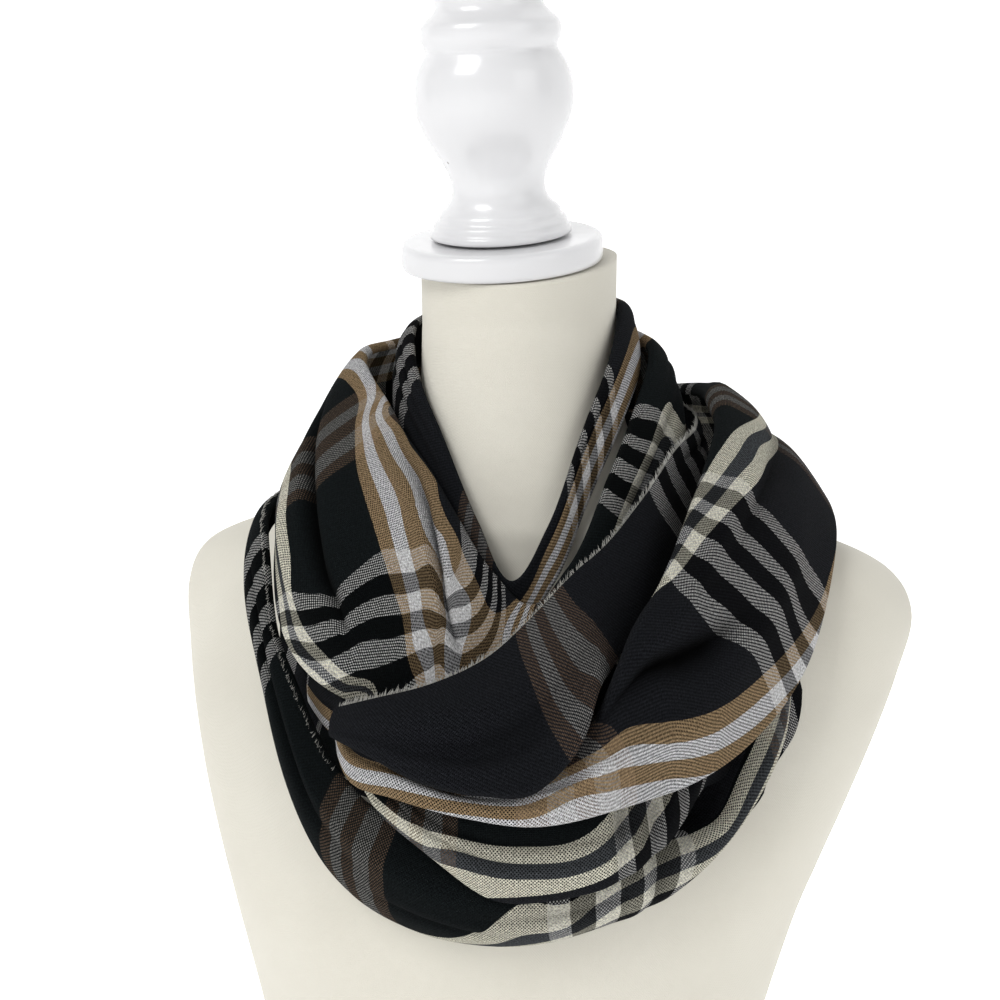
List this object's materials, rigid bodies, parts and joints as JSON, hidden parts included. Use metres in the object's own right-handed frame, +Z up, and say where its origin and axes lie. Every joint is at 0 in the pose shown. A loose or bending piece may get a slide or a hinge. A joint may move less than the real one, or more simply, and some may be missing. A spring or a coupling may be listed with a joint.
{
  "type": "plaid infinity scarf on dress form",
  "caption": "Plaid woven loop scarf wound twice round the neck of a cream limbless dress form with a white turned finial.",
  "frame": {"origin": "centre of the dress form's flat base, on the surface it stands on", "axes": "+Z up, the form's front towards -Y, +X to the right seen from the front"},
  "size_m": [0.3924, 0.3095, 0.6802],
  "materials": {
    "form_cloth": "cream cotton drawn tight over the form",
    "white_paint": "gloss white paint on turned wood",
    "scarf_cloth": "yarn-dyed plain weave plaid in charcoal, black, tan, white, grey and cream, with short raw edges"
  },
  "bodies": {
    "root": {"form_body": "form_cloth", "neck_cap": "white_paint", "finial": "white_paint", "scarf_under_layer": "scarf_cloth", "scarf_collar": "scarf_cloth", "scarf_inner_cowl": "scarf_cloth", "scarf_crossing": "scarf_cloth", "scarf_right_cowl": "scarf_cloth", "scarf_lower_fold": "scarf_cloth", "scarf_bottom_roll": "scarf_cloth"}
  },
  "joints": []
}
